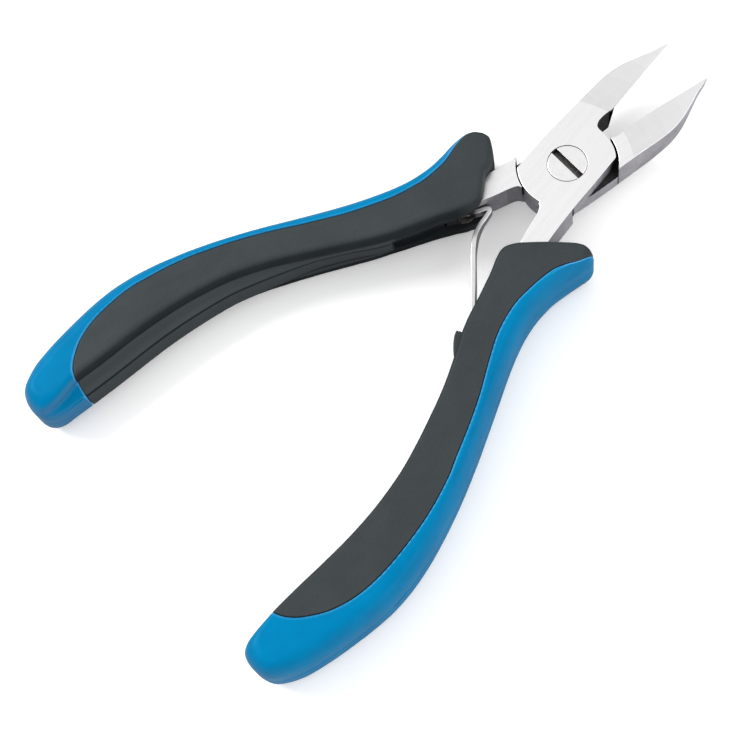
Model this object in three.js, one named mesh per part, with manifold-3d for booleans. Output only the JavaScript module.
// Small electronics diagonal cutters: two steel arms on a lap joint, a slotted pivot screw,
// a two-piece leaf spring with its rivet, and a pair of two-colour grips.
// Millimetres, +Z up. Origin at the centre of the whole tool's box; the jaws point along +X and
// the handles along -X. Each arm is drawn closed, about the pivot axis, then turned open by
// REST_OPEN and moved along +X by PIVOT_X.
import * as THREE from 'three';
import { mergeVertices } from 'three/addons/utils/BufferGeometryUtils.js';
import Module from 'manifold-3d';

const wasm = await Module();
wasm.setup();

// ---- shared dimensions ----------------------------------------------------------------------
const REST_OPEN = 9.2;        // each arm is turned this many degrees from closed
const PIVOT_X = 34.36;        // the pivot axis, from the centre of the box
const STEEL_T = 6.0;          // full thickness of the steel
const STEEL_TOP = STEEL_T / 2;
const HOLE_GAP = 0.1;         // radial clearance of the screw and rivet holes
const TANG_T = 4.4;           // thickness of the tang inside the grip
const FIT = 0.3;              // gap between grip and steel, and between the two grip colours
const OVERCUT = 1;            // how far cutters pass through a face

// ---- outlines -------------------------------------------------------------------------------
const vectors = (points) => points.map(([x, y]) => new THREE.Vector2(x, y));
const spline = (points, segments) =>
  new THREE.SplineCurve(vectors(points)).getSpacedPoints(segments);
const raised = (points, rise) => points.map(([x, y]) => [x, y + rise]);

function arc(radius, startDegrees, endDegrees, segments) {
  return Array.from({ length: segments + 1 }, (_, i) => {
    const degrees = startDegrees + (endDegrees - startDegrees) * i / segments;
    const angle = THREE.MathUtils.degToRad(degrees);
    return new THREE.Vector2(radius * Math.cos(angle), radius * Math.sin(angle));
  });
}

// drops points that nearly coincide with the one before, and a repeated closing point
function withoutRepeats(points) {
  const MIN_STEP = 0.02;
  const kept = [];
  for (const point of points) {
    if (!kept.length || kept.at(-1).distanceTo(point) > MIN_STEP) kept.push(point);
  }
  if (kept[0].distanceTo(kept.at(-1)) < MIN_STEP) kept.pop();
  return kept;
}

// moves each point to the left of the line's run, and pushes the two ends outward along it
function offsetLine(line, leftShiftAt, endPush = 0) {
  const last = line.length - 1;
  return line.map((point, i) => {
    const before = line[Math.max(0, i - 1)];
    const after = line[Math.min(last, i + 1)];
    const run = after.clone().sub(before).normalize();
    const left = new THREE.Vector2(-run.y, run.x);
    const push = endPush * (i === 0 ? -1 : i === last ? 1 : 0);
    return point.clone().addScaledVector(run, push).addScaledVector(left, leftShiftAt(point));
  });
}

// stations: x, y, half width
function halfWidthAt(stations, x) {
  for (let i = 0; i < stations.length - 1; i++) {
    const [x0, , half0] = stations[i];
    const [x1, , half1] = stations[i + 1];
    if ((x - x0) * (x - x1) <= 0) return half0 + (x - x0) / (x1 - x0) * (half1 - half0);
  }
  return stations.at(-1)[2];
}

// outline of a strip along its centre line, grown all round by margin
function ribbon(stations, segments, margin = 0) {
  const centre = spline(stations, segments);
  const halfWidth = (point) => halfWidthAt(stations, point.x) + margin;
  const left = offsetLine(centre, halfWidth, margin);
  const right = offsetLine(centre, (point) => -halfWidth(point), margin);
  return [...left, ...right.reverse()];
}

// ---- solids ---------------------------------------------------------------------------------
function solid(geometry) {
  const bare = geometry.index ? geometry.toNonIndexed() : geometry;
  bare.deleteAttribute('normal');
  bare.deleteAttribute('uv');
  const merged = mergeVertices(bare, 1e-4);
  return new wasm.Manifold(new wasm.Mesh({
    numProp: 3,
    vertProperties: new Float32Array(merged.attributes.position.array),
    triVerts: new Uint32Array(merged.index.array),
  }));
}

function extruded(outline, depth, bevelOptions = { bevelEnabled: false }) {
  const shape = new THREE.Shape(withoutRepeats(outline));
  return new THREE.ExtrudeGeometry(shape, { depth, curveSegments: 1, steps: 1, ...bevelOptions });
}

// centred on z = 0; a bevel cuts into the outline and stays within the thickness
function prism(outline, thickness, bevel) {
  const depth = thickness - (bevel ? 2 * bevel.thickness : 0);
  const bevelOptions = bevel && {
    bevelEnabled: true,
    bevelThickness: bevel.thickness,
    bevelSize: bevel.size,
    bevelOffset: -bevel.size,
    bevelSegments: bevel.segments,
  };
  return solid(extruded(outline, depth, bevelOptions).translate(0, 0, -depth / 2));
}

function rod(radius, bottom, top, segments = 72) {
  const cylinder = new THREE.CylinderGeometry(radius, radius, top - bottom, segments);
  return solid(cylinder.rotateX(Math.PI / 2).translate(0, 0, (bottom + top) / 2));
}

// ---- steel arm, drawn with its jaw on +Y and its handle on -Y -------------------------------
const LAP_GAP = 0.1;          // running clearance between the two lap faces
const LAP_R = 8.7;            // rounded end of each lap plate
const LAP_END_ANGLE = 183.8;  // degrees, where the rounded end meets the shank
const RECESS_R = 8.92;        // round recess the other plate turns in
const CUT_Y = 0.08;           // each cutting edge stands this far off the centre line
const JAW_TIP_X = 29.0;
const JAW_SPLIT_X = 12.3;     // from here to the tip the lower jaw is a plain mirror image

// plan outline in runs, x and y, counter-clockwise from the jaw tip
const JAW_OUTER = [
  [29.0, 0.42], [27.8, 0.95], [26.3, 1.65], [24.8, 2.5], [23.1, 3.4], [21.2, 4.3], [19.0, 5.0],
  [17.0, 5.35], [14.5, 5.55], [11.3, 5.72], [8.5, 5.92], [6.2, 6.1], [3.3, 6.3], [0, 6.45],
  [-3.5, 6.5],
];
const SHANK_INNER = [
  [-9.05, -0.75], [-9.35, -1.2], [-10.2, -1.55], [-11.5, -1.78], [-13.5, -2.05],
  [-15.5, -2.42], [-17.2, -2.82], [-19.5, -3.6], [-23.4, -5.3],
];
const SHANK_OUTER = [
  [-24.9, -9.3], [-20.5, -7.85], [-17.0, -6.98], [-13.9, -6.5], [-9.9, -6.22], [-5.0, -6.12],
  [0, -6.14], [5.4, -6.12],
];
const LAP_FRONT = [[5.9, -6.08], [6.55, -5.5], [7.35, -4.45], [8.0, -3.15], [8.38, -1.95]];
const THROAT = [
  [8.55, -1.2], [8.72, -0.45], [9.1, 0.22], [9.8, 0.55], [10.8, 0.55], [11.9, 0.36],
  [12.9, 0.12], [13.6, CUT_Y],
];
// tang centre line: x, y, half width
const TANG = [
  [-21.0, -6.35, 1.9], [-24, -7.45, 1.95], [-30, -8.95, 1.9], [-36, -10.45, 1.85],
  [-45, -13.3, 1.8], [-55, -16.55, 1.75], [-65, -18.4, 1.7], [-74, -18.9, 1.6],
  [-82, -18.2, 1.4],
];
// side profiles of the jaw faces: x and z
const JAW_TOP = [
  [11.4, STEEL_TOP], [14.5, 2.97], [18.5, 2.92], [21.5, 2.88], [24.5, 2.82], [27, 2.76],
  [30.5, 2.66],
];
const JAW_BOTTOM = [
  [11.4, -STEEL_TOP], [13.0, -2.92], [14.8, -2.66], [17.0, -2.32], [19.0, -2.0],
  [20.8, -1.62], [22.4, -1.06], [23.7, -0.42], [25.0, 0.18], [26.6, 0.66], [28.4, 1.08],
  [30.5, 1.42],
];
// three points of the ground bevel's plane: two on the edge line, one below its back end
const BEVEL_BACK = new THREE.Vector3(12.4, CUT_Y, 2.7);
const BEVEL_TIP = new THREE.Vector3(JAW_TIP_X, CUT_Y, 2.42);
const BEVEL_FOOT = new THREE.Vector3(12.4, 2.7, -STEEL_TOP);
const BEVEL_CUTTER = { length: 24, depth: 6, height: 14 };

function armOutline() {
  // the rounded lap end starts level with the last point of the jaw run
  const startY = JAW_OUTER.at(-1)[1];
  const startAngle = Math.atan2(startY, -Math.sqrt(LAP_R ** 2 - startY ** 2));
  return [
    new THREE.Vector2(JAW_TIP_X, CUT_Y),
    ...spline(JAW_OUTER, 34),
    ...arc(LAP_R, THREE.MathUtils.radToDeg(startAngle), LAP_END_ANGLE, 16),
    ...spline(SHANK_INNER, 20),
    ...spline(SHANK_OUTER, 16),
    ...spline(LAP_FRONT, 8),
    ...spline(THROAT, 12),
  ];
}

// everything between a jaw face profile and the level farZ
function jawFaceCutter(profile, segments, farZ) {
  const width = 20;
  const backX = profile[0][0];
  const outline = [...spline(profile, segments), ...vectors([[31, farZ], [backX, farZ]])];
  return solid(extruded(outline, width).rotateX(Math.PI / 2).translate(0, width / 2, 0));
}

// a box standing on the bevel plane, which runs through the edge line and leans back below it
function bevelCutter() {
  const edge = BEVEL_TIP.clone().sub(BEVEL_BACK).normalize();
  const outward = BEVEL_FOOT.clone().sub(BEVEL_BACK).cross(edge).normalize();
  const across = edge.clone().cross(outward).normalize();
  const { length, depth, height } = BEVEL_CUTTER;
  const box = new THREE.BoxGeometry(length, depth, height).translate(length / 2, depth / 2, 0);
  const frame = new THREE.Matrix4().makeBasis(edge, outward, across).setPosition(BEVEL_BACK);
  return solid(box.applyMatrix4(frame));
}

function steelArm() {
  return prism(armOutline(), STEEL_T)
    // round recess under the lap plate for the other arm's plate
    .subtract(rod(RECESS_R, -STEEL_TOP - OVERCUT, LAP_GAP / 2, 96))
    .subtract(jawFaceCutter(JAW_TOP, 8, STEEL_TOP + OVERCUT))
    .subtract(jawFaceCutter(JAW_BOTTOM, 22, -STEEL_TOP - OVERCUT))
    .subtract(bevelCutter())
    .add(prism(ribbon(TANG, 28), TANG_T));
}

// ---- pivot screw ----------------------------------------------------------------------------
const HEAD_R = 3.48;
const HEAD_T = 1.6;
const HEAD_CHAMFER = 0.12;
const SHANK_R = 2.2;
const SHANK_CHAMFER = 0.35;
const SLOT_W = 1.15;
const SLOT_DEPTH = 1.0;
const SLOT_TURN = -91;        // degrees from +X in the finished tool

function pivotScrew() {
  const headBottom = STEEL_TOP - HEAD_T;
  // radius, z
  const profile = [
    [0, -STEEL_TOP],
    [SHANK_R - SHANK_CHAMFER, -STEEL_TOP],
    [SHANK_R, -STEEL_TOP + SHANK_CHAMFER],
    [SHANK_R, headBottom],
    [HEAD_R, headBottom],
    [HEAD_R, STEEL_TOP - HEAD_CHAMFER],
    [HEAD_R - HEAD_CHAMFER, STEEL_TOP],
    [0, STEEL_TOP],
  ];
  const body = new THREE.LatheGeometry(vectors(profile), 96).rotateX(Math.PI / 2);
  // the screw rides with the lower arm, so the slot also undoes that arm's turn
  const slot = new THREE.BoxGeometry(2 * (HEAD_R + OVERCUT), SLOT_W, SLOT_DEPTH * 2)
    .rotateZ(THREE.MathUtils.degToRad(SLOT_TURN + REST_OPEN))
    .translate(0, 0, STEEL_TOP);
  return solid(body).subtract(solid(slot));
}

// ---- leaf spring and rivet, drawn in the closed frame of the lower arm (handle on +Y) -------
const LEAF_T = 0.9;
const LEAF_W = 3.8;
const NECK_W = 1.7;           // width of the narrow tongue at the +X end of each strip
// centre lines: x, y
const LEG = [
  [-15.55, 0.78], [-16.85, 0.4], [-18.3, -0.2], [-19.8, -1.25], [-21.2, -2.7],
  [-22.55, -4.5], [-24.3, -7.25], [-26.3, -10.3], [-27.8, -12.5], [-28.4, -13.5],
  [-28.5, -14.4],
];
const FOOT = [[-15.0, 1.79], [-16.2, 1.99], [-17.2, 2.21], [-19.5, 2.97], [-22.6, 4.33]];
// where the width changes, along Y for the leg and along X for the foot
const LEG_TAPER = { start: 3, neckEnd: -1.4, fullWidth: -8.5, end: -20 };
const FOOT_TAPER = { start: -10, neckEnd: -15.6, fullWidth: -17.9, end: -30 };

const RIVET_R = 0.9;
const RIVET_LENGTH = 3.0;
const RIVET_HOLE_DEPTH = 3.3;
const RIVET_AT = new THREE.Vector3(...FOOT[3], 0);
const RIVET_DIRECTION = new THREE.Vector3(0.36, 0.933, 0).normalize();
// distance from the axis, distance along RIVET_DIRECTION
const RIVET_PROFILE = [
  [0, -1.0], [0.9, -0.95], [1.45, -0.62], [1.45, -0.5], [RIVET_R, -0.5],
  [RIVET_R, RIVET_LENGTH], [0, RIVET_LENGTH],
];

const X_AXIS = new THREE.Vector3(1, 0, 0);
const Y_AXIS = new THREE.Vector3(0, 1, 0);
const Z_AXIS = new THREE.Vector3(0, 0, 1);

// the tapered outline, drawn along one axis and Z and carried through along the other
function taperBlock({ start, neckEnd, fullWidth, end }, taperAxis, throughAxis) {
  const depth = 60;
  const neck = NECK_W / 2;
  const wide = LEAF_W / 2 + 0.5;
  const outline = vectors([
    [start, -neck], [start, neck], [neckEnd, neck], [fullWidth, wide],
    [end, wide], [end, -wide], [fullWidth, -wide], [neckEnd, -neck],
  ]);
  const frame = new THREE.Matrix4()
    .makeBasis(taperAxis, Z_AXIS, throughAxis)
    .setPosition(throughAxis.clone().multiplyScalar(-depth / 2));
  return solid(extruded(outline, depth).applyMatrix4(frame));
}

function leafStrip(line, segments) {
  const stations = line.map(([x, y]) => [x, y, LEAF_T / 2]);
  return prism(ribbon(stations, segments), LEAF_W);
}

// places a geometry made about +Y on the rivet's axis
function onRivetAxis(geometry) {
  const turn = new THREE.Quaternion().setFromUnitVectors(Y_AXIS, RIVET_DIRECTION);
  const unitScale = new THREE.Vector3(1, 1, 1);
  return solid(geometry.applyMatrix4(new THREE.Matrix4().compose(RIVET_AT, turn, unitScale)));
}

function rivetHole(end) {
  const start = -2;
  const radius = RIVET_R + HOLE_GAP;
  const cylinder = new THREE.CylinderGeometry(radius, radius, end - start, 40);
  return onRivetAxis(cylinder.translate(0, (start + end) / 2, 0));
}

const springLeg = () => leafStrip(LEG, 30).intersect(taperBlock(LEG_TAPER, Y_AXIS, X_AXIS));
const springFoot = () => leafStrip(FOOT, 14)
  .intersect(taperBlock(FOOT_TAPER, X_AXIS, Y_AXIS.clone().negate()))
  .subtract(rivetHole(2));
const springRivet = () => onRivetAxis(new THREE.LatheGeometry(vectors(RIVET_PROFILE), 40));

// ---- the two finished arms ------------------------------------------------------------------
const armBlank = steelArm();
const pivotHole = rod(SHANK_R + HOLE_GAP, -STEEL_TOP - OVERCUT, STEEL_TOP + OVERCUT);

function upperArm() {
  const boreBottom = STEEL_TOP - HEAD_T - HOLE_GAP;
  const headBore = rod(HEAD_R + HOLE_GAP, boreBottom, STEEL_TOP + OVERCUT, 96);
  return armBlank.subtract(headBore).subtract(pivotHole);
}

// the upper arm turned over about X, except its jaw, which is mirrored in Y only
function lowerArm() {
  const length = 30;
  const box = new THREE.BoxGeometry(length, 30, 20).translate(JAW_SPLIT_X + length / 2, 0, 0);
  const jawBlock = solid(box);
  return armBlank.rotate([180, 0, 0])
    .subtract(pivotHole)
    .subtract(jawBlock)
    .add(armBlank.mirror([0, 1, 0]).intersect(jawBlock))
    .subtract(rivetHole(RIVET_HOLE_DEPTH));
}

// ---- grips, drawn for the handle on -Y; all tables are x and y ------------------------------
const GRIP_T = 12.4;
const EDGE_BEVEL = { thickness: 1.2, size: 0.8, segments: 2 };
const OUTER_BEVEL = { thickness: 4.4, size: 3.0, segments: 4 };
const FLANGE_T = 5;
const FLANGE_BEVEL = { thickness: 0.9, size: 0.5, segments: 1 };
const BAND_T = 40;            // taller than the grip
const SKIRT_T = 7.2;
const SKIRT_ROOT_RISE = 3;    // skirt root above the colour border, in Y
const SKIRT_EDGE_RISE = 0.5;  // skirt edge above its table, in Y
const CHANNEL_W = 5.8;
const CHANNEL_TOP_Y = 3;
const CHANNEL_SLOPE = 0.28;   // floor slope beyond the first point of CHANNEL_FLOOR
const RIGHT_CHANNEL_END_X = -35.1;
const LEFT_CHANNEL_END_X = -33.3;

// plan: outer side from front to tail, round the tail, back along the inner side, front end
const OUTER = [
  [-11.6, -14.7], [-12.9, -15], [-14.9, -14.56], [-17.5, -13.65], [-20.5, -12.89],
  [-24, -12.57], [-27, -12.82], [-30.5, -13.44], [-35, -14.62], [-40, -16.18],
  [-45, -17.85], [-50, -19.8], [-55, -21.35], [-60, -22.85], [-65, -24.07], [-70, -24.88],
  [-74.5, -25.2], [-79, -24.95], [-83.5, -24.2], [-88, -23.2], [-92, -22.09],
  [-96, -20.67], [-98.8, -18.99], [-100.4, -17.3], [-100.95, -15.5], [-100.85, -13.9],
];
const TAIL = [[-100.3, -12.85], [-99.2, -12.45], [-97.6, -12.42], [-95, -12.7], [-92, -13.1]];
const INNER = [
  [-92, -13.1], [-86, -13.7], [-81, -14.35], [-75, -14.85], [-68.5, -15.0], [-62, -14.6],
  [-56, -13.45], [-51.5, -12.1], [-46, -10.2], [-40, -7.85], [-35, -5.9], [-30, -4.4],
  [-25, -3.0], [-22, -2.3], [-20.2, -2.05],
];
const FRONT_RIGHT = [
  [-19.0, -2.1], [-17.75, -2.95], [-16.25, -4.6], [-14.65, -6.7], [-13.1, -8.85],
  [-11.8, -10.8], [-11.0, -12.3], [-10.75, -13.7],
];
const FRONT_LEFT = [
  [-19.0, -2.1], [-17.2, -2.6], [-15.3, -3.9], [-13.5, -5.6], [-11.8, -7.3],
  [-10.4, -9.0], [-9.4, -10.7], [-9.05, -12.1], [-9.5, -13.5],
];
// closes OUTER well clear of the inner side
const WIDE_RETURN = [
  [-100.75, -12.0], [-99, -7], [-95, -2], [-60, 4], [-4, 8], [-4, -13.2],
];
// thinner flange that stands out along the tail and the inner side
const FLANGE_TAIL = [
  [-100.7, -14.0], [-100.45, -12.7], [-99.7, -11.6], [-98.4, -11.0], [-95.9, -10.7],
  [-91.6, -11.1],
];
const FLANGE_INNER = [
  [-91.6, -11.1], [-86, -11.85], [-81, -12.6], [-75, -13.2], [-68.5, -13.35],
  [-62, -13.1], [-57, -12.45], [-52, -11.4], [-46, -9.65], [-40, -7.5], [-34.9, -5.2],
];
const FLANGE_CORNER = [[-34.9, -7.5]];
const FLANGE_BURIED = [
  [-40, -10], [-52, -14], [-62, -16.5], [-75, -17.5], [-90, -15.5], [-97, -14.5],
];
// line between the two colours, with the cover on its -Y side
const BORDER = [
  [-9, -15.6], [-10.2, -14.8], [-11.4, -14.1], [-13, -13.2], [-15, -12.35],
  [-17.8, -11.33], [-20.5, -10.61], [-23.5, -10.19], [-26.5, -10.12], [-29.5, -10.45],
  [-33, -11.31], [-36, -12.28], [-39, -13.39], [-42, -14.51], [-45.5, -15.88],
  [-49, -17.2], [-52.5, -18.41], [-56, -19.53], [-59.5, -20.45], [-62.5, -21.15],
  [-65.5, -21.7], [-68.5, -22.1], [-71.5, -22.3], [-74.5, -22.3], [-77.5, -22.1],
  [-80.3, -21.6], [-83, -20.75], [-85.8, -19.45], [-88.4, -17.56], [-90.4, -15.13],
  [-91.6, -12.31], [-92, -9.6], [-91.9, -6.6],
];
const BAND_RETURN = [[-106, -4], [-108, -30], [-60, -34], [-6, -26], [-7, -15.6]];
const SKIRT_EDGE = [
  [-14, -12.8], [-17.8, -12.02], [-22, -11.55], [-26.5, -11.48], [-33, -12.66],
  [-39, -14.78], [-45.5, -17.31], [-52.5, -20.05], [-59.5, -22.29], [-65.5, -23.5],
  [-71.5, -24.1], [-77.5, -23.9], [-82, -23], [-85.5, -21.4], [-87.5, -19.2],
];
const POCKET_FRONT = [[-5, -1.0]];
const POCKET_BACK = [[-24.9, -6.2], [-25.5, -9.6]];
const CHANNEL_FLOOR = [[-30, -6.2], [-25, -5.0], [-20, -4.3], [-6, -4.3]];

const border = spline(BORDER, 60);
const skirtEdge = spline(raised(SKIRT_EDGE, SKIRT_EDGE_RISE), 24);
const skirtRoot = (rise) => spline(raised(BORDER.slice(4, 27), rise), 36);

function gripEnvelope(front) {
  const outer = spline(OUTER, 46);
  const plan = [...outer, ...spline(TAIL, 6), ...spline(INNER, 26), ...spline(front, 9)];
  const flange = [
    ...spline(FLANGE_TAIL, 8),
    ...spline(FLANGE_INNER, 20),
    ...vectors(FLANGE_CORNER),
    ...spline(FLANGE_BURIED, 10),
  ];
  // the wide prism's large bevel rounds the outer side only
  return prism(plan, GRIP_T, EDGE_BEVEL)
    .intersect(prism([...outer, ...vectors(WIDE_RETURN)], GRIP_T, OUTER_BEVEL))
    .add(prism(flange, FLANGE_T, FLANGE_BEVEL));
}

// everything on the cover's side of a border line
const coverBand = (line) => prism([...line, ...vectors(BAND_RETURN)], BAND_T);

function gripCover(envelope) {
  const outline = [...skirtRoot(SKIRT_ROOT_RISE), ...skirtEdge.slice().reverse()];
  return envelope.intersect(coverBand(border).subtract(prism(outline, SKIRT_T)));
}

// the core's skirt runs on under the cover, smaller than the cover's hollow by the fit
function coreSkirt() {
  const root = skirtRoot(SKIRT_ROOT_RISE + FIT).slice(1, -1);
  const edge = offsetLine(skirtEdge, () => -FIT, -FIT * 1.5);
  return prism([...root, ...edge.reverse()], SKIRT_T - 2 * FIT);
}

function shankPocket() {
  const outline = [
    ...vectors(POCKET_FRONT),
    ...spline(raised(SHANK_INNER, FIT), 20),
    ...vectors(POCKET_BACK),
    ...spline(raised(SHANK_OUTER, -FIT), 16),
  ];
  return prism(outline, STEEL_T + 2 * FIT);
}

// the channel the leaf spring works in
function springChannel(endX) {
  const [floorX, floorY] = CHANNEL_FLOOR[0];
  const outline = [
    [endX, floorY - CHANNEL_SLOPE * (floorX - endX)],
    ...CHANNEL_FLOOR,
    [CHANNEL_FLOOR.at(-1)[0], CHANNEL_TOP_Y],
    [endX, CHANNEL_TOP_Y],
  ];
  return prism(vectors(outline), CHANNEL_W);
}

function gripCore(envelope, channelEndX) {
  const grownBorder = offsetLine(border, () => -FIT * 0.6);
  return envelope.subtract(coverBand(grownBorder))
    .add(envelope.intersect(coreSkirt()))
    .subtract(shankPocket())
    .subtract(prism(ribbon(TANG, 28, FIT), TANG_T + 2 * FIT))
    .subtract(springChannel(channelEndX));
}

// ---- materials ------------------------------------------------------------------------------
const steel = ({ color, roughness }) =>
  new THREE.MeshStandardMaterial({ color, roughness, metalness: 1 });
const plastic = ({ color, roughness }) =>
  new THREE.MeshStandardMaterial({ color, roughness, metalness: 0 });

const upperArmSteel = () => steel({ color: 0xe6e6ea, roughness: 0.28 });
const lowerArmSteel = () => steel({ color: 0xe2e2e6, roughness: 0.28 });
const screwSteel = () => steel({ color: 0xdcdce0, roughness: 0.3 });
const springSteel = () => steel({ color: 0xd2d2d6, roughness: 0.25 });
const rivetSteel = () => steel({ color: 0xb8b8bc, roughness: 0.4 });
const darkGrey = () => plastic({ color: 0x3a4042, roughness: 0.75 });
const blue = () => plastic({ color: 0x0a86cc, roughness: 0.5 });

// ---- assembly -------------------------------------------------------------------------------
function part(name, body, material) {
  const { vertProperties, triVerts } = body.getMesh();
  const geometry = new THREE.BufferGeometry();
  const positions = new Float32Array(vertProperties);
  geometry.setAttribute('position', new THREE.BufferAttribute(positions, 3));
  geometry.setIndex(new THREE.BufferAttribute(new Uint32Array(triVerts), 1));
  geometry.computeVertexNormals();
  const mesh = new THREE.Mesh(geometry, material);
  mesh.name = name;
  return mesh;
}

function turnedGroup(degrees, parts) {
  const group = new THREE.Group();
  group.rotation.z = THREE.MathUtils.degToRad(degrees);
  group.add(...parts);
  return group;
}

const rightEnvelope = gripEnvelope(FRONT_RIGHT);
const leftEnvelope = gripEnvelope(FRONT_LEFT);
const leftCore = gripCore(leftEnvelope, LEFT_CHANNEL_END_X).mirror([0, 1, 0]);
const leftCover = gripCover(leftEnvelope).mirror([0, 1, 0]);

const upper = turnedGroup(REST_OPEN, [
  part('upper_arm', upperArm(), upperArmSteel()),
  part('right_grip_core', gripCore(rightEnvelope, RIGHT_CHANNEL_END_X), darkGrey()),
  part('right_grip_cover', gripCover(rightEnvelope), blue()),
]);

const lower = turnedGroup(-REST_OPEN, [
  part('lower_arm', lowerArm(), lowerArmSteel()),
  part('left_grip_core', leftCore, darkGrey()),
  part('left_grip_cover', leftCover, blue()),
  part('pivot_screw', pivotScrew(), screwSteel()),
  part('leaf_spring_foot', springFoot(), springSteel()),
  part('leaf_spring_leg', springLeg(), springSteel()),
  part('spring_rivet', springRivet(), rivetSteel()),
]);

const pliers = new THREE.Group();
pliers.position.x = PIVOT_X;
pliers.add(upper, lower);
export default pliers;
